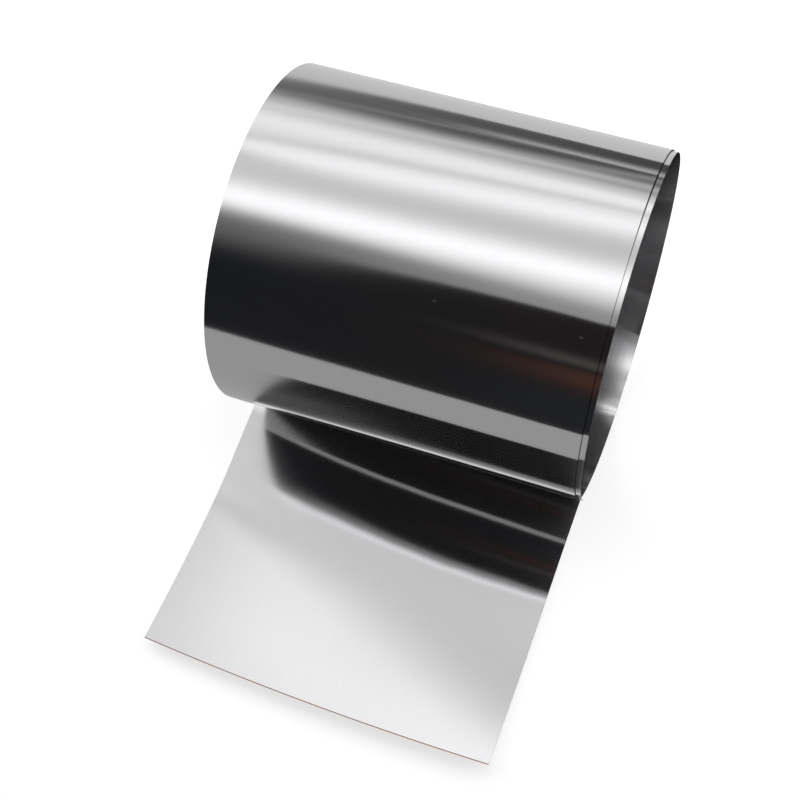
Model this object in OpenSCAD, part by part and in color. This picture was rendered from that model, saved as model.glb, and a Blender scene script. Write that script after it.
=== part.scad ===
// Coil of bright-rolled stainless steel shim strip, lying on its side with its free end unrolled.
// One continuous strip: a true spiral of almost two turns, and a tail that leaves from under the coil.
// X runs along the coil's axis, the free end points to -Y, and Z = 0 is the surface it lies on.
// The origin is the middle of its footprint.

/* [Strip] */
// Width of the strip
strip_width = 150; // [100:1:200]
// Thickness of the strip
strip_thickness = 0.2; // [0.1:0.05:0.5]

/* [Coil] */
// Outside diameter of the coil
coil_diameter = 143; // [110:0.5:200]
// Number of turns in the coil, counted from the line where the coil rests to the strip's inner end
turns = 1.86; // [1.55:0.01:3.95]
// Air gap between one turn and the next
turn_gap = 0.3; // [0.1:0.05:0.8]
// How far each turn stands out sideways past the turn around it
turn_creep = 2.16; // [0:0.02:4]

/* [Free end] */
// Length of the free end in plan, from the line where the coil rests to the tip of its cut
tail_length = 168.2; // [130:0.2:260]
// Part of that length that lies flat, next to the coil
tail_flat = 83.6; // [40:0.2:120]
// Radius of the gentle upward curl beyond the flat part
curl_radius = 483; // [380:1:1400]
// How far the free end wanders sideways over its length
tail_drift = 1.5; // [0:0.1:6]

/* [Cut end] */
// Radius of the slightly bowed cut, in plan
cut_radius = 1400; // [500:10:5000]
// How far the tip of the cut lies from the middle of the strip, towards +X
cut_tip = 37.5; // [-50:0.5:50]

/* [Hidden] */
$fn = 180;
// Overshoot of cutting shapes past the solid that they trim
past = 1;
turn_pitch = strip_thickness + turn_gap;
coil_radius = coil_diameter / 2;
// The coil is built from half turns, and the last of them may sweep less than 180 degrees
half_turns = ceil(2 * turns);
last_sweep = 180 * (2 * turns - half_turns + 1);
// Sideways shift of the strip at its inner end
end_shift = turn_creep * (half_turns - 1 + (1 - cos(last_sweep)) / 2) / 2;
side_reach = strip_width + turn_creep * half_turns + 2 * tail_drift + 2 * past;
// Middle of the footprint, measured from the line where the coil rests
footprint_x = (end_shift - tail_drift) / 2;
footprint_y = (coil_radius - tail_length) / 2;

// Half turns are counted inwards from the tail: even ones run up the back, odd ones down the front.
function is_back(k) = k % 2 == 0;
function outer_radius(k) = coil_radius - k * turn_pitch / 2;
// Each half turn is a plain arc, and its centre steps up and down so that the arcs meet tangentially.
function centre_z(k) = coil_radius + (is_back(k) ? 0 : turn_pitch / 2);
function bottom_z(k) = centre_z(k) - outer_radius(k);
function top_z(k) = centre_z(k) + outer_radius(k);
function sweep(k) = k == half_turns - 1 ? last_sweep : 180;
// Sideways shift at the bottom and at the top of a half turn
function bottom_shift(k) = turn_creep * (is_back(k) ? k : k + 1) / 2;
function top_shift(k) = turn_creep * (is_back(k) ? k + 1 : k) / 2;

// Section of the strip bent to a full circle
module ring(radius) {
    difference() {
        circle(radius);
        circle(radius - strip_thickness);
    }
}

// The half plane beside a vertical line through the origin: the back (+Y) side, or the front
module half_plane(reach, back) {
    translate([back ? 0 : -reach, -reach])
        square([reach, 2 * reach]);
}

// Side view of one half turn. The second half plane, turned back, stops it where its sweep ends.
module half_ring(k) {
    reach = outer_radius(k) + past;
    translate([0, centre_z(k)])
        intersection() {
            ring(outer_radius(k));
            half_plane(reach, is_back(k));
            rotate(sweep(k) - 180)
                half_plane(reach, is_back(k));
        }
}

// Back view of one half turn: the strip's full width, leaning sideways as it climbs
module leaning_band(k) {
    low = bottom_z(k);
    high = top_z(k);
    left_edge = [
        [bottom_shift(k), low - past],
        [bottom_shift(k), low + strip_thickness],
        [top_shift(k), high - strip_thickness],
        [top_shift(k), high + past],
    ];
    right_edge = [for (i = [3:-1:0]) left_edge[i] + [strip_width, 0]];
    translate([-strip_width / 2, 0])
        polygon(concat(left_edge, right_edge));
}

module half_turn(k) {
    intersection() {
        rotate([90, 0, 90])
            linear_extrude(side_reach, center = true)
                half_ring(k);
        rotate([90, 0, 0])
            linear_extrude(2 * (coil_radius + past), center = true)
                leaning_band(k);
    }
}

// Side view of the free end: flat beside the coil, then a long upward curl
module tail_side() {
    translate([-tail_flat, 0])
        square([tail_flat, strip_thickness]);
    intersection() {
        translate([-tail_flat, curl_radius])
            ring(curl_radius);
        translate([-tail_length - past, 0])
            square([tail_length + past - tail_flat, curl_radius]);
    }
}

// Plan of the free end: it drifts sideways and ends in a bowed cut that is a little out of square
module tail_plan() {
    reach = tail_length + past;
    drift = tail_drift * reach / tail_length;
    intersection() {
        polygon([
            [-strip_width / 2, 0],
            [strip_width / 2, 0],
            [strip_width / 2 - drift, -reach],
            [-strip_width / 2 - drift, -reach],
        ]);
        translate([cut_tip - tail_drift, cut_radius - tail_length])
            circle(cut_radius, $fn = 720);
    }
}

module tail() {
    intersection() {
        rotate([90, 0, 90])
            linear_extrude(side_reach, center = true)
                tail_side();
        translate([0, 0, -past])
            linear_extrude(curl_radius)
                tail_plan();
    }
}

module shim_strip() {
    color("lightgray")
        translate([-footprint_x, -footprint_y, 0])
            union() {
                for (k = [half_turns - 1:-1:0])
                    half_turn(k);
                tail();
            }
}

shim_strip();
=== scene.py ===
"""Looks for a coil of bright-rolled stainless shim strip, lying on its side with its free end unrolled.

The strip is one swept sheet that follows the same spiral and free end as the CAD solid, with a much
finer surface, because nearly all that is seen of it is what it reflects. What it reflects is a plain
studio: a soft box above, a pale table, and dark and grey walls, all of them hidden from the camera.
"""

import math

import bpy
import numpy as np
from mathutils import Matrix, Vector


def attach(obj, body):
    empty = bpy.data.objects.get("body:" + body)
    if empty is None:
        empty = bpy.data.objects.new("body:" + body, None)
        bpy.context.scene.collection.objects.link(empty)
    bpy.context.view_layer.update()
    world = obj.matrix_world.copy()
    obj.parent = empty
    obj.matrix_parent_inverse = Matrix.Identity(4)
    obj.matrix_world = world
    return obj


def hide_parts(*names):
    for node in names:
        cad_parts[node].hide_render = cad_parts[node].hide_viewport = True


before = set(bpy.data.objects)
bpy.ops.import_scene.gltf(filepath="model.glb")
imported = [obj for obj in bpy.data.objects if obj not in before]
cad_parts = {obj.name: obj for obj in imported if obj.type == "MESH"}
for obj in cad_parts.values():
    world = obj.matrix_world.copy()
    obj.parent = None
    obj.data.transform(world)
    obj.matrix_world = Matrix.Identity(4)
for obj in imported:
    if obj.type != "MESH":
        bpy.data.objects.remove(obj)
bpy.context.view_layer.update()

MM = 0.001

# Driving dimensions of the strip, in millimetres, as the CAD source has them
STRIP_WIDTH = 150.0
STRIP_THICKNESS = 0.2
COIL_DIAMETER = 143.0
TURNS = 1.86
TURN_GAP = 0.3
TURN_CREEP = 2.16
TAIL_LENGTH = 168.2
TAIL_FLAT = 83.6
CURL_RADIUS = 483.0
TAIL_DRIFT = 1.5
CUT_RADIUS = 1400.0
CUT_TIP = 37.5

# The free end isn't quite flat: a low swell that is higher towards -X and along both edges
SWELL_HEIGHT = 2.85
SWELL_LEAN = -0.8
SWELL_EDGES = 1.41
SWELL_LENGTH = 136.8
SWELL_LENGTH_LEAN = 34.5
SWELL_RISE = 2.09
SWELL_FALL = 2.92
# From here on the free end turns up a little further towards +X, by this much at the middle of its cut
END_LIFT_FROM = 90.0
END_LIFT = 0.7

# Fineness of the mesh: steps along the free end, along each half turn, and across the width
TAIL_STEPS = 112
HALF_TURN_STEPS = 140
WIDTH_STEPS = 40
# The slit edges are broken by this much
EDGE_BREAK = 0.03
# Two faces meet in a sharp edge where the cosine of the angle between them is below this
SHARP_COSINE = 0.9
# In the UV map the inner side lies this far to one side, and the slit edges to the other, in metres
SIDE_OFFSET = 1.0

COIL_RADIUS = COIL_DIAMETER / 2
TURN_PITCH = STRIP_THICKNESS + TURN_GAP
HALF_WIDTH = STRIP_WIDTH / 2
HALF_TURNS = math.ceil(2 * TURNS)
LAST_SWEEP = math.pi * (2 * TURNS - HALF_TURNS + 1)
# The photo hides the strip's inner end behind the lower rim, so it is drawn shorter by this angle
END_TRIM = math.radians(15)
END_SHIFT = TURN_CREEP * (HALF_TURNS - 1 + (1 - math.cos(LAST_SWEEP)) / 2) / 2
# Middle of the footprint, measured from the line where the coil rests
FOOTPRINT = np.array([(END_SHIFT - TAIL_DRIFT) / 2, (COIL_RADIUS - TAIL_LENGTH) / 2, 0.0])


def in_part_frame(x, y, z):
    """A place in millimetres from the line where the coil rests, as metres in the part's frame."""
    return Vector((np.array([x, y, z]) - FOOTPRINT) * MM)


# The strip


def cut_end(x):
    """Distance of the cut from the resting line, at sideways place x."""
    off = x - (CUT_TIP - TAIL_DRIFT)
    return TAIL_LENGTH - CUT_RADIUS + np.sqrt(CUT_RADIUS**2 - off**2)


def tail_lift(x, t):
    """Height of the free end's underside at sideways place x and distance t from the resting line."""
    past = np.maximum(t - TAIL_FLAT, 0.0)
    curl = CURL_RADIUS - np.sqrt(CURL_RADIUS**2 - past**2)
    side = x / HALF_WIDTH
    share = np.clip(t / (SWELL_LENGTH + SWELL_LENGTH_LEAN * side), 0, 1)
    crest = SWELL_RISE / (SWELL_RISE + SWELL_FALL)
    wave = (share / crest) ** SWELL_RISE * ((1 - share) / (1 - crest)) ** SWELL_FALL
    swell = wave * (SWELL_HEIGHT + SWELL_LEAN * side + SWELL_EDGES * side**2)
    turned_up = np.maximum((t - END_LIFT_FROM) / (TAIL_LENGTH - END_LIFT_FROM), 0.0) ** 3
    return curl + swell + END_LIFT * (1 + side) * turned_up


def tail_rows(across):
    """Rows of the free end's underside, from the cut to the resting line."""
    drift = -TAIL_DRIFT * cut_end(across) / TAIL_LENGTH
    for i in range(TAIL_STEPS):
        share = 1 - i / TAIL_STEPS
        t = cut_end(across + drift) * share
        x = across - TAIL_DRIFT * t / TAIL_LENGTH
        yield np.stack([x, -t, tail_lift(x, t)], axis=-1)


def coil_rows(across):
    """Rows of the coil's outer side, from the resting line inwards round every half turn."""
    for k in range(HALF_TURNS):
        rising = k % 2 == 0
        side = 1 if rising else -1
        radius = COIL_RADIUS - k * TURN_PITCH / 2
        centre = COIL_RADIUS + (0 if rising else TURN_PITCH / 2)
        last = k == HALF_TURNS - 1
        sweep = LAST_SWEEP - END_TRIM if last else math.pi
        steps = round(HALF_TURN_STEPS * sweep / math.pi)
        for i in range(steps + last):
            angle = sweep * i / steps
            climb = (1 - math.cos(angle)) / 2
            y = radius * math.sin(angle) * side
            z = centre - radius * math.cos(angle) * side
            x = across + TURN_CREEP * (k + climb) / 2
            yield np.stack([x, np.full_like(x, y), np.full_like(x, z)], axis=-1)


def strip_section():
    """Sideways places of the columns: evenly spaced, with a narrow one at each broken edge."""
    inner = np.linspace(-HALF_WIDTH + EDGE_BREAK, HALF_WIDTH - EDGE_BREAK, WIDTH_STEPS + 1)
    return np.concatenate([[-HALF_WIDTH], inner, [HALF_WIDTH]])


def sheet_faces(rows, columns):
    """Corners of every face of a closed thin sheet: two sides and four edges, all facing outwards."""

    def at(side, row, column):
        return side * rows * columns + row * columns + column

    for row in range(rows - 1):
        for c in range(columns - 1):
            yield at(0, row, c), at(0, row + 1, c), at(0, row + 1, c + 1), at(0, row, c + 1)
            yield at(1, row, c), at(1, row, c + 1), at(1, row + 1, c + 1), at(1, row + 1, c)
        right = columns - 1
        yield at(0, row, 0), at(1, row, 0), at(1, row + 1, 0), at(0, row + 1, 0)
        yield at(0, row, right), at(0, row + 1, right), at(1, row + 1, right), at(1, row, right)
    for c in range(columns - 1):
        top = rows - 1
        yield at(0, 0, c), at(0, 0, c + 1), at(1, 0, c + 1), at(1, 0, c)
        yield at(0, top, c), at(1, top, c), at(1, top, c + 1), at(0, top, c + 1)


def mark_sharp_edges(mesh):
    """Smooth along the sheet, sharp at its slit edges."""
    normals = np.empty(len(mesh.polygons) * 3)
    mesh.polygons.foreach_get("normal", normals)
    normals = normals.reshape(-1, 3)
    mesh.polygons.foreach_set("use_smooth", [True] * len(mesh.polygons))
    sides = {}
    for face in mesh.polygons:
        for key in face.edge_keys:
            sides.setdefault(key, []).append(face.index)
    pairs = (sides[edge.key] for edge in mesh.edges)
    sharp = [float(normals[a] @ normals[b]) < SHARP_COSINE for a, b in pairs]
    mesh.edges.foreach_set("use_edge_sharp", sharp)


def add_strip_map(mesh, across, outer):
    """A UV map in metres: U across the strip, V along it.

    The sheet's inner side lies SIDE_OFFSET further along U, and the slit edges as far back.
    """
    rows, columns = outer.shape[:2]
    middle = outer[:, columns // 2]
    steps = np.linalg.norm(np.diff(middle, axis=0), axis=1)
    along = np.concatenate([[0], np.cumsum(steps)]) * MM
    corners = np.empty(len(mesh.loops), dtype=np.int64)
    mesh.loops.foreach_get("vertex_index", corners)
    corners = corners.reshape(-1, 4)
    side, place = np.divmod(corners, rows * columns)
    row, column = np.divmod(place, columns)
    u = (across[column] + HALF_WIDTH) * MM
    v = along[row]
    at_border = ((column == 0) | (column == columns - 1)).any(axis=1)
    on_edge = (at_border | (side.min(axis=1) != side.max(axis=1)))[:, None]
    depth = STRIP_THICKNESS * MM * side
    u = np.where(on_edge, u - SIDE_OFFSET + depth, u + SIDE_OFFSET * side)
    v = np.where(on_edge, v + depth, v)
    layer = mesh.uv_layers.new(name="strip")
    layer.uv.foreach_set("vector", np.stack([u, v], axis=-1).astype(np.float32).ravel())


def make_strip():
    """The whole strip as one closed sheet: its outer side, its inner side and the edges between them."""
    across = strip_section()
    outer = np.array(list(tail_rows(across)) + list(coil_rows(across)))
    rows, columns = outer.shape[:2]
    inward = np.cross(np.gradient(outer, axis=0), np.gradient(outer, axis=1))
    inward /= np.linalg.norm(inward, axis=2, keepdims=True)
    if inward[0, columns // 2, 2] < 0:
        inward = -inward
    inner = outer + inward * STRIP_THICKNESS
    # The outermost columns are the slit edge's flat, set in by the break on both sides
    for edge in (0, -1):
        outer[:, edge] += inward[:, edge] * EDGE_BREAK
        inner[:, edge] -= inward[:, edge] * EDGE_BREAK
    points = (np.concatenate([outer.reshape(-1, 3), inner.reshape(-1, 3)]) - FOOTPRINT) * MM
    mesh = bpy.data.meshes.new("strip")
    mesh.from_pydata([tuple(p) for p in points], [], list(sheet_faces(rows, columns)))
    mesh.update()
    mark_sharp_edges(mesh)
    add_strip_map(mesh, across, outer)
    made = bpy.data.objects.new("strip", mesh)
    bpy.context.scene.collection.objects.link(made)
    return made


strip = make_strip()
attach(strip, "root")
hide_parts("shim_strip")

# Materials

WHITE = (1, 1, 1, 1)
NOISE_DETAIL = 2.0


class Nodes:
    """Short names for building a node tree. Each value is a number or another node's output."""

    def __init__(self, tree):
        self.tree = tree
        tree.nodes.clear()

    def add(self, kind, inputs=None, **settings):
        """A new node: its settings are set first, and then its inputs are set or linked."""
        made = self.tree.nodes.new(kind)
        for name, value in settings.items():
            setattr(made, name, value)
        for name, value in (inputs or {}).items():
            if isinstance(value, bpy.types.NodeSocket):
                self.tree.links.new(value, made.inputs[name])
            else:
                made.inputs[name].default_value = value
        return made

    def math(self, operation, *values):
        """What a Math node makes of the values."""
        return self.add("ShaderNodeMath", dict(enumerate(values)), operation=operation).outputs[0]

    def total(self, *values):
        """The values' sum."""
        result = values[0]
        for value in values[1:]:
            result = self.math("ADD", result, value)
        return result

    def times(self, *values):
        """The values' product."""
        result = values[0]
        for value in values[1:]:
            result = self.math("MULTIPLY", result, value)
        return result

    def scaled(self, value, factor, offset=0.0):
        """value * factor + offset."""
        return self.math("MULTIPLY_ADD", value, factor, offset)

    def rest(self, share):
        """What is left of 1."""
        return self.math("SUBTRACT", 1.0, share)

    def line(self, value, start_and_change):
        """A level that changes evenly with value: its level at 0, and its change for each unit."""
        start, change = start_and_change
        return self.scaled(value, change, start)

    def clamped(self, value, most):
        """The value, kept between 0 and most."""
        return self.math("MINIMUM", self.math("MAXIMUM", value, 0.0), most)

    def bell(self, value, centre, width):
        """1 where value is centre, falling away on both sides as a bell curve."""
        off = self.math("DIVIDE", self.math("SUBTRACT", value, centre), width)
        return self.math("EXPONENT", self.scaled(self.times(off, off), -0.5))

    def soft_step(self, value, edge, width):
        """0 well below the edge and 1 well above it."""
        off = self.math("DIVIDE", self.math("SUBTRACT", value, edge), width)
        falling = self.math("EXPONENT", self.scaled(off, -1.0))
        return self.math("DIVIDE", 1.0, self.math("ADD", 1.0, falling))

    def noise(self, x, y, x_size, y_size):
        """Soft noise about 0, with features of these sizes along x and along y."""
        steps = {0: self.scaled(x, 1 / x_size), 1: self.scaled(y, 1 / y_size)}
        made = self.add("ShaderNodeTexNoise", {
            "Vector": self.add("ShaderNodeCombineXYZ", steps).outputs[0],
            "Scale": 1.0,
            "Detail": NOISE_DETAIL,
        })
        return self.scaled(made.outputs["Fac"], 2.0, -1.0)

    def mix(self, share, low, high):
        """A colour between low and high."""
        inputs = {0: share, 6: low, 7: high}
        return self.add("ShaderNodeMix", inputs, data_type="RGBA", clamp_factor=True).outputs[2]

    def show(self, shader, output="ShaderNodeOutputMaterial"):
        """Make this shader the tree's result."""
        self.add(output, {"Surface": shader.outputs[0]})


def seen_background(nodes):
    """1 for the rays that should meet the plain pale background, 0 for the light that falls on things."""
    path = nodes.add("ShaderNodeLightPath").outputs
    either = nodes.math("MAXIMUM", path["Is Camera Ray"], path["Is Glossy Ray"])
    return nodes.math("MAXIMUM", either, path["Is Transmission Ray"])


def new_material(name):
    """A new material and its empty node tree."""
    material = bpy.data.materials.new(name)
    material.use_nodes = True
    return material, Nodes(material.node_tree)


# Places on the strip are in millimetres, across it from its -X edge and along it from its cut end.

# The coil's inner side is bent out at its +X rim, low at the back. The bend fades this far in from the
# rim, and is made of these lobes: slope, place along the strip and spread.
FLARE_REACH = 14.0
FLARES = [
    (0.085, 634.0, 20.0),
    (0.065, 616.3, 4.5),
    (-0.03, 625.0, 4.5),
    (-0.02, 606.0, 6.0),
]
# Rolling lines run along the strip: their spacing, length and height
LINE_SPACING = 1.1
LINE_LENGTH = 18.0
LINE_HEIGHT = 0.005
# Broad unevenness of the sheet
WAVE_SIZE = 55.0
WAVE_HEIGHT = 0.05
# The steel's colour varies between these two with its rolling lines
STEEL_COLORS = ((0.61, 0.61, 0.62, 1), (0.63, 0.63, 0.64, 1))
# Roughness of the rolled sides, and what the waves, the slit edges and the nicks add to it
ROUGHNESS = 0.11
WAVE_ROUGHNESS = 0.01
EDGE_ROUGHNESS = 0.3
NICK_ROUGHNESS = 0.5
# Tiny bright nicks, as places across and along the strip, and their size
NICKS = [(87.2, 440.1), (141.5, 439.0)]
NICK_SIZE = (0.5, 0.25)
# Painted shade: the slit edges and the seam beside the outermost turn's edge are coloured this dark
EDGE_AND_SEAM_SHADE_COLOR = (0.06, 0.045, 0.04, 1)
# A fine warm line is painted along the cut end, this wide: it stands in for the cut face seen edge-on,
# and partly is painted shade for the shadow under that edge
CUT_EDGE_AND_SHADE_COLOR = (0.22, 0.12, 0.07, 1)
CUT_EDGE_AND_SHADE_WIDTH = 0.32
# Painted shade: a dark seam is painted where the edge of the outermost turn lies on the next one, for the
# shadow in the gap between them. It gapes near the top of the back and nearly closes further on: change
# of its width, place along the strip and spread.
SEAM_SHADE_WIDTH = 0.22
SEAM_SHADE_CHANGES = [(0.26, 372.0, 16.0), (-0.13, 415.0, 16.0)]
SEAM_SHADE_END = 640.0


def steel_material():
    """Bright-rolled steel: nearly a mirror, with reflections drawn out across its rolling lines."""
    material, nodes = new_material("bright_rolled_steel")
    strip_map = nodes.add("ShaderNodeUVMap", uv_map="strip")
    place = nodes.add("ShaderNodeSeparateXYZ", {0: strip_map.outputs[0]})
    across = nodes.scaled(place.outputs[0], 1 / MM)
    along = nodes.scaled(place.outputs[1], 1 / MM)
    side_offset = SIDE_OFFSET / MM
    edge = nodes.math("LESS_THAN", across, -side_offset / 2)
    inner = nodes.math("GREATER_THAN", across, side_offset / 2)
    across = nodes.math("MULTIPLY_ADD", inner, -side_offset, across)
    from_rim = nodes.math("SUBTRACT", STRIP_WIDTH, across)

    lines = nodes.noise(across, along, LINE_SPACING, LINE_LENGTH)
    waves = nodes.noise(across, along, WAVE_SIZE, WAVE_SIZE)
    slope = 0.0
    for steepness, v, spread in FLARES:
        slope = nodes.total(nodes.scaled(nodes.bell(along, v, spread), steepness), slope)
    flare = nodes.scaled(nodes.math("EXPONENT", nodes.scaled(from_rim, -1 / FLARE_REACH)), FLARE_REACH)
    depth = nodes.total(
        nodes.scaled(lines, LINE_HEIGHT),
        nodes.scaled(waves, WAVE_HEIGHT),
        nodes.times(inner, slope, flare),
    )
    bump = nodes.add("ShaderNodeBump", {"Height": depth, "Distance": MM}, invert=True)

    nick = 0.0
    for u, v in NICKS:
        spot = nodes.times(nodes.bell(across, u, NICK_SIZE[0]), nodes.bell(along, v, NICK_SIZE[1]))
        nick = nodes.math("MAXIMUM", spot, nick)
    seam_shade_width = SEAM_SHADE_WIDTH
    for change, v, spread in SEAM_SHADE_CHANGES:
        seam_shade_width = nodes.total(nodes.scaled(nodes.bell(along, v, spread), change), seam_shade_width)
    # The painted seam shade runs from the resting line, where the coil begins, to just past the outermost
    # turn's end
    on_turn = nodes.math("COMPARE", along, (SEAM_SHADE_END + TAIL_LENGTH) / 2, (SEAM_SHADE_END - TAIL_LENGTH) / 2)
    seam_shade_mask = nodes.times(nodes.math("LESS_THAN", from_rim, seam_shade_width), nodes.rest(inner), on_turn)

    steel = nodes.mix(lines, *STEEL_COLORS)
    # Partly painted shade: the warm line along the cut end
    color = nodes.mix(nodes.math("LESS_THAN", along, CUT_EDGE_AND_SHADE_WIDTH), steel, CUT_EDGE_AND_SHADE_COLOR)
    # Painted shade on the slit edges and along the seam
    color = nodes.mix(nodes.math("MAXIMUM", edge, seam_shade_mask), color, EDGE_AND_SEAM_SHADE_COLOR)
    roughness = nodes.total(
        ROUGHNESS,
        nodes.scaled(waves, WAVE_ROUGHNESS),
        nodes.scaled(edge, EDGE_ROUGHNESS),
        nodes.scaled(nick, NICK_ROUGHNESS),
    )
    nodes.show(nodes.add("ShaderNodeBsdfPrincipled", {
        "Base Color": color,
        "Metallic": 1.0,
        "Roughness": roughness,
        "Anisotropic": 1.0,
        "Normal": bump.outputs[0],
        "Tangent": nodes.add("ShaderNodeTangent", direction_type="UV_MAP", uv_map="strip").outputs[0],
    }))
    return material


strip.data.materials.append(steel_material())

# Studio

# Lengths and places are in millimetres from the line where the coil rests, and levels are light, where
# 1 is white. A pair is a level or place where it starts, and its change for each unit after that.

# Extents of the hidden stage pieces
REACH = 1500.0
TABLE_FRONT = -400.0
TABLE_BACK = 1300.0
BOX_FRONT = -600.0
BOX_HEIGHT = 394.5
BACK_CARD_TOP = 1000.0
# The floor lies a hair below the part, and the hidden floor cards lie between the two
FLOOR_REACH = 5000.0
FLOOR_DROP = -0.2
CARD_DROP = -0.1

# The floor is lit by the world, and glows by this much more where it is seen
FLOOR_COLOR = (0.8, 0.8, 0.8, 1)
FLOOR_LIFT = 0.6
# The sky is white where it is seen, and lights the floor at this level
SKY_LEVEL = 0.4
FRONT_FLOOR_LEVEL = 0.456
REAR_FLOOR_LEVEL = 0.737
# The dark surfaces' red and blue change along x, as shares of their level
DARK_LEVEL = 0.017
DARK_RED = (1.05, 0.0005)
DARK_BLUE = (1.04, -0.0004)
# Towards +X they turn brown: extra red, place and softness
WARMTH = 0.2
WARM_FROM = -6.0
WARM_SOFTNESS = 18.0
# The back wall is paler towards -X, and never darker than this
BACK_LEVEL = (0.075, -0.00018)
BACK_LEAST = 0.03

# The soft box ends softly at the back
BOX_LEVEL = 0.81
BOX_BACK = 570.0
BACK_SOFTNESS = 73.0
# It dims before its front edge
DIM_FROM = -142.0
DIM_SOFTNESS = 12.0
# From here towards -X, over this length, that edge slants forward and softens: its level, its place and
# its softness along that run
EDGE_X = 30.0
EDGE_RUN = 206.0
EDGE_LEVEL = (0.5, -0.25)
EDGE_PLACE = (-205.0, -85.0)
EDGE_SOFTNESS = (2.0, 36.0)
# Three fluorescent tubes show through its cloth: strength, place at the strip's -X edge, slant and width
TUBES = [
    (0.816, -76.6, 0.196, 37.4),
    (0.578, 107.9, 0.316, 36.8),
    (0.502, 251.1, 0.203, 69.2),
]
# Fainter streaks and seams of the ceiling: strength, its change along x, place at x = 0, slant, bow and
# width. None is stronger than its strength times STREAK_MOST.
STREAKS = [
    (-0.27, 0.0, 219.0, 0.426, -0.00068, 14.0),
    (0.10, 0.006, 305.0, 0.117, -0.0011, 20.0),
    (-0.16, 0.003, 462.0, 0.21, -0.0018, 26.0),
    (0.22, -0.001, 566.0, 0.764, -0.00024, 34.0),
    (0.5, 0.007, 887.0, 3.055, 0.00496, 85.0),
    (0.81, 0.0021, 1932.0, 3.22, 0.0, 95.0),
]
STREAK_MOST = 1.5
# A dim patch of the ceiling at the far left, which the free end shows: strength, then place and width
# along x and along y
DIM_PATCH = (-0.5, -218.0, 38.0, 50.0, 20.0)
# Fine slanted streaks, from here back: their strength, slant and size
FINE_LEVEL = 0.12
FINE_SLANT = 0.76
FINE_FROM = 340.0
FINE_SOFTNESS = 30.0
FINE_SPACING = 16.0
FINE_LENGTH = 400.0
# A pale stripe along the back wall: its height changes along x, and it starts here
STRIPE_LEVEL = 0.5
STRIPE_HEIGHT = (345.0, -0.2)
STRIPE_WIDTH = 52.0
STRIPE_FROM = -262.0
STRIPE_SOFTNESS = 24.0
# The foot of that wall rises from here towards -X, by this height over this run, and gets softer
FOOT_X = -209.0
FOOT_RUN = 297.0
FOOT_HEIGHT = 165.0
FOOT_SOFTNESS = (3.0, 12.0)
# A dark grey bar crosses the front of the ceiling towards +X: level, place and width, and a trace of
# brown
GREY_BAR = (0.06, -500.0, 42.0)
GREY_BAR_BROWN = 0.01
BAR_FROM = -35.0
BAR_SOFTNESS = 10.0
# The front wall has a brown bar and a faint blue one below it, towards +X: level, height and width, and
# the share of green in each. The brown bar also adds a share of its level to every colour.
BROWN_BAR = (0.062, 323.0, 66.0)
BROWN_GREEN = 0.22
BROWN_SHARE = 0.24
BLUE_BAR = (0.013, 110.0, 80.0)
BLUE_GREEN = 0.65


def place_on_stage(nodes):
    """X, Y and Z of the shaded point, in millimetres from the line where the coil rests."""
    position = nodes.add("ShaderNodeNewGeometry").outputs["Position"]
    place = nodes.add("ShaderNodeSeparateXYZ", {0: position})
    return [nodes.scaled(place.outputs[i], 1 / MM, FOOTPRINT[i]) for i in range(3)]


def floor_material():
    """A plain pale floor that is nearly white where it is seen, and keeps the part's shadow."""
    material, nodes = new_material("pale_floor")
    base = nodes.add("ShaderNodeBsdfDiffuse", {"Color": FLOOR_COLOR})
    lift = nodes.add("ShaderNodeEmission", {"Strength": nodes.scaled(seen_background(nodes), FLOOR_LIFT)})
    nodes.show(nodes.add("ShaderNodeAddShader", {0: base.outputs[0], 1: lift.outputs[0]}))
    return material


def plain_card(name, level):
    """A card that glows evenly."""
    material, nodes = new_material(name)
    nodes.show(nodes.add("ShaderNodeEmission", {"Color": WHITE, "Strength": level}))
    return material


def tinted_glow(nodes, x, lit, dark, brown, bluish=0.0):
    """Emission of neutral light, of the dark surfaces' own tint, and of brown and bluish light."""
    warmth = nodes.scaled(nodes.soft_step(x, WARM_FROM, WARM_SOFTNESS), WARMTH)
    red = nodes.times(dark, nodes.total(nodes.line(x, DARK_RED), warmth))
    blue = nodes.times(dark, nodes.line(x, DARK_BLUE))
    color = nodes.add("ShaderNodeCombineColor", {
        0: nodes.total(lit, red, brown),
        1: nodes.total(lit, dark, nodes.scaled(brown, BROWN_GREEN), nodes.scaled(bluish, BLUE_GREEN)),
        2: nodes.total(lit, blue, bluish),
    })
    nodes.show(nodes.add("ShaderNodeEmission", {"Color": color.outputs[0], "Strength": 1.0}))


def back_level(nodes, x):
    """Level of the back wall at x."""
    return nodes.math("MAXIMUM", nodes.line(x, BACK_LEVEL), BACK_LEAST)


def tube_light(nodes, x, y):
    """Light of the three tubes."""
    from_edge = nodes.math("ADD", x, HALF_WIDTH)
    light = 0.0
    for strength, place, slant, width in TUBES:
        centre = nodes.scaled(from_edge, slant, place)
        light = nodes.total(nodes.scaled(nodes.bell(y, centre, width), strength), light)
    return light


def streak_light(nodes, x, y):
    """What the ceiling's streaks and seams add or take away."""
    light = 0.0
    for strength, change, place, slant, bow, width in STREAKS:
        centre = nodes.math("MULTIPLY_ADD", nodes.scaled(x, bow, slant), x, place)
        share = nodes.clamped(nodes.scaled(x, change, 1.0), STREAK_MOST)
        streak = nodes.times(nodes.bell(y, centre, width), share)
        light = nodes.total(nodes.scaled(streak, strength), light)
    return light


def fine_light(nodes, x, y):
    """What the fine slanted streaks add or take away."""
    off_slant = nodes.math("MULTIPLY_ADD", x, -FINE_SLANT, y)
    fine = nodes.noise(off_slant, x, FINE_SPACING, FINE_LENGTH)
    return nodes.scaled(nodes.times(fine, nodes.soft_step(y, FINE_FROM, FINE_SOFTNESS)), FINE_LEVEL)


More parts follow.
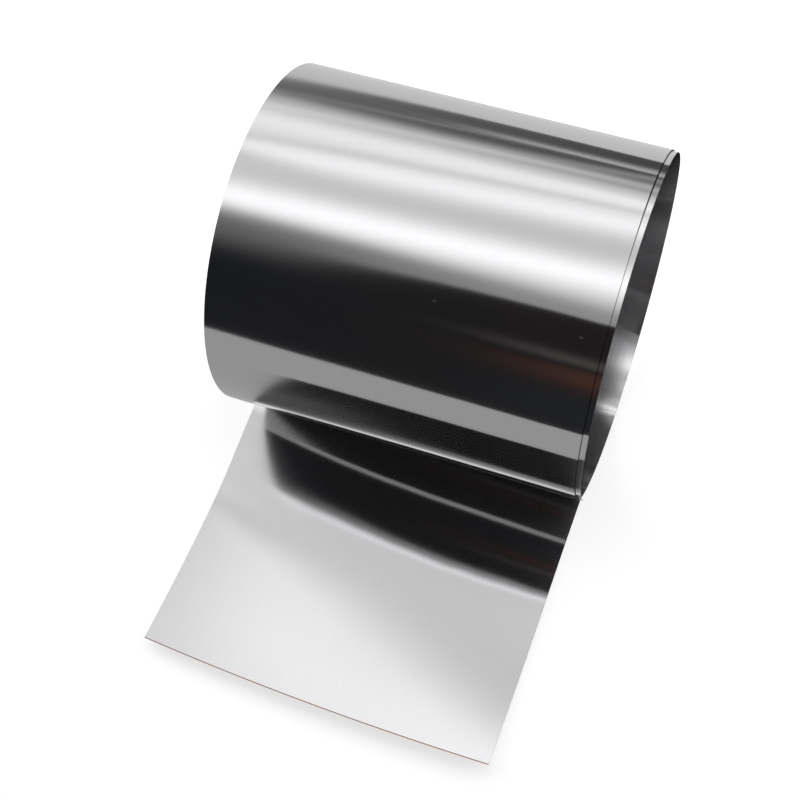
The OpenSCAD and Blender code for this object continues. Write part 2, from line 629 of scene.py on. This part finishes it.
def soft_box_material():
    """The soft box, and the ceiling in front of it and behind it."""
    material, nodes = new_material("soft_box_cloth")
    x, y, _ = place_on_stage(nodes)
    # 0 at the crisp end of the front edge and 1 at its soft end
    run = nodes.clamped(nodes.scaled(x, -1 / EDGE_RUN, EDGE_X / EDGE_RUN), 1.0)
    run_squared = nodes.times(run, run)
    edge = nodes.line(run_squared, EDGE_PLACE)
    softness = nodes.line(nodes.times(run_squared, run_squared), EDGE_SOFTNESS)
    low = nodes.line(run, EDGE_LEVEL)
    front = nodes.soft_step(y, edge, softness)
    full = nodes.soft_step(y, DIM_FROM, DIM_SOFTNESS)
    cloth = nodes.total(nodes.times(front, low), nodes.times(full, nodes.rest(low)))
    back = nodes.soft_step(y, BOX_BACK, BACK_SOFTNESS)

    bar_level, bar_place, bar_width = GREY_BAR
    bar = nodes.times(nodes.bell(y, bar_place, bar_width), nodes.soft_step(x, BAR_FROM, BAR_SOFTNESS))
    patch_level, patch_x, x_width, patch_y, y_width = DIM_PATCH
    patch = nodes.times(nodes.bell(x, patch_x, x_width), nodes.bell(y, patch_y, y_width))
    lit = nodes.total(
        nodes.times(nodes.scaled(cloth, BOX_LEVEL), nodes.rest(back)),
        nodes.times(tube_light(nodes, x, y), front),
        nodes.times(back, back_level(nodes, x)),
        streak_light(nodes, x, y),
        fine_light(nodes, x, y),
        nodes.scaled(bar, bar_level),
        nodes.scaled(patch, patch_level),
    )
    dark = nodes.scaled(front, -DARK_LEVEL, DARK_LEVEL)
    tinted_glow(nodes, x, nodes.math("MAXIMUM", lit, 0.0), dark, nodes.scaled(bar, GREY_BAR_BROWN))
    return material


def back_card_material():
    """The back wall with its pale stripe, and the table below its slanted foot."""
    material, nodes = new_material("back_card_face")
    x, _, z = place_on_stage(nodes)
    stripe = nodes.bell(z, nodes.line(x, STRIPE_HEIGHT), STRIPE_WIDTH)
    stripe = nodes.times(stripe, nodes.soft_step(x, STRIPE_FROM, STRIPE_SOFTNESS))
    wall = nodes.total(back_level(nodes, x), nodes.scaled(stripe, STRIPE_LEVEL))
    run = nodes.math("MAXIMUM", nodes.scaled(x, -1 / FOOT_RUN, FOOT_X / FOOT_RUN), 0.0)
    foot = nodes.scaled(nodes.times(run, run), FOOT_HEIGHT)
    above = nodes.soft_step(z, foot, nodes.line(run, FOOT_SOFTNESS))
    table = nodes.scaled(above, -REAR_FLOOR_LEVEL, REAR_FLOOR_LEVEL)
    level = nodes.total(nodes.times(above, wall), table)
    nodes.show(nodes.add("ShaderNodeEmission", {"Color": WHITE, "Strength": level}))
    return material


def front_card_material():
    """The dark front wall, with its brown bar and its faint blue one."""
    material, nodes = new_material("front_card_face")
    x, _, z = place_on_stage(nodes)
    side = nodes.soft_step(x, WARM_FROM, WARM_SOFTNESS)
    brown, bluish = (
        nodes.times(nodes.scaled(nodes.bell(z, height, width), level), side)
        for level, height, width in (BROWN_BAR, BLUE_BAR)
    )
    tinted_glow(nodes, x, 0.0, nodes.scaled(brown, BROWN_SHARE, DARK_LEVEL), brown, bluish)
    return material


def panel(name, corners, material, hidden=True):
    """A flat four-cornered stage piece. Hidden ones are seen only in reflections."""
    mesh = bpy.data.meshes.new(name)
    mesh.from_pydata([in_part_frame(*c) for c in corners], [], [(0, 1, 2, 3)])
    mesh.materials.append(material)
    made = bpy.data.objects.new(name, mesh)
    bpy.context.scene.collection.objects.link(made)
    if hidden:
        made.visible_camera = False
        made.visible_shadow = False
    return made


def level_panel(name, front, back, height, material, hidden=True, reach=REACH):
    """A level stage piece from front to back, reaching equally far to both sides."""
    corners = [
        (-reach, front, height),
        (reach, front, height),
        (reach, back, height),
        (-reach, back, height),
    ]
    return panel(name, corners, material, hidden)


floor_look = floor_material()
level_panel("floor", -FLOOR_REACH, FLOOR_REACH, FLOOR_DROP, floor_look, hidden=False, reach=FLOOR_REACH)
level_panel("soft_box", BOX_FRONT, TABLE_BACK, BOX_HEIGHT, soft_box_material())
dark = plain_card("dark_card", DARK_LEVEL)
grey = plain_card("grey_card", FRONT_FLOOR_LEVEL)
pale = plain_card("pale_card", REAR_FLOOR_LEVEL)
seen_only_in_metal = [
    level_panel("front_floor_card", TABLE_FRONT, 0, CARD_DROP, grey),
    level_panel("rear_floor_card", 0, TABLE_BACK, CARD_DROP, pale),
    panel("front_card", [
        (-REACH, TABLE_FRONT, CARD_DROP),
        (-REACH, BOX_FRONT, BOX_HEIGHT),
        (REACH, BOX_FRONT, BOX_HEIGHT),
        (REACH, TABLE_FRONT, CARD_DROP),
    ], front_card_material()),
    panel("back_card", [
        (-REACH, TABLE_BACK, CARD_DROP),
        (REACH, TABLE_BACK, CARD_DROP),
        (REACH, TABLE_BACK, BACK_CARD_TOP),
        (-REACH, TABLE_BACK, BACK_CARD_TOP),
    ], back_card_material()),
    panel("side_card", [
        (REACH, -REACH, CARD_DROP),
        (REACH, TABLE_BACK, CARD_DROP),
        (REACH, TABLE_BACK, BOX_HEIGHT),
        (REACH, -REACH, BOX_HEIGHT),
    ], dark),
]
for card in seen_only_in_metal:
    card.visible_diffuse = False

world = bpy.data.worlds.new("studio")
bpy.context.scene.world = world
world.use_nodes = True
sky = Nodes(world.node_tree)
sky_strength = sky.scaled(seen_background(sky), 1 - SKY_LEVEL, SKY_LEVEL)
sky_look = sky.add("ShaderNodeBackground", {"Color": WHITE, "Strength": sky_strength})
sky.show(sky_look, "ShaderNodeOutputWorld")

# Camera

# It was fitted to the outlines in the photograph. It looks at this place, from this side and height.
AIM = Vector((-18.5, 27.27, -5.94)) * MM
AZIMUTH = math.radians(26.93)
ELEVATION = math.radians(61.65)
ROLL = math.radians(-7.9)
DISTANCE = 647.8 * MM
LENS = 64.51
SENSOR = 36.0
NEAR_CLIP = 0.01
# Light runs through the whole barrel of the coil, so many reflections are followed
BOUNCES = 24

back = Vector((
    math.sin(AZIMUTH) * math.cos(ELEVATION),
    -math.cos(AZIMUTH) * math.cos(ELEVATION),
    math.sin(ELEVATION),
))
level_right = Vector((math.cos(AZIMUTH), math.sin(AZIMUTH), 0))
level_up = back.cross(level_right)
right = level_right * math.cos(ROLL) + level_up * math.sin(ROLL)
up = level_up * math.cos(ROLL) - level_right * math.sin(ROLL)
camera_data = bpy.data.cameras.new("camera")
camera_data.sensor_width = SENSOR
camera_data.lens = LENS
camera_data.clip_start = NEAR_CLIP
camera = bpy.data.objects.new("camera", camera_data)
bpy.context.scene.collection.objects.link(camera)
axes = Matrix((right, up, back)).transposed().to_4x4()
camera.matrix_world = Matrix.Translation(AIM + back * DISTANCE) @ axes
bpy.context.scene.camera = camera

bpy.context.scene.view_settings.view_transform = "Standard"
bpy.context.scene.cycles.max_bounces = BOUNCES
bpy.context.scene.cycles.glossy_bounces = BOUNCES
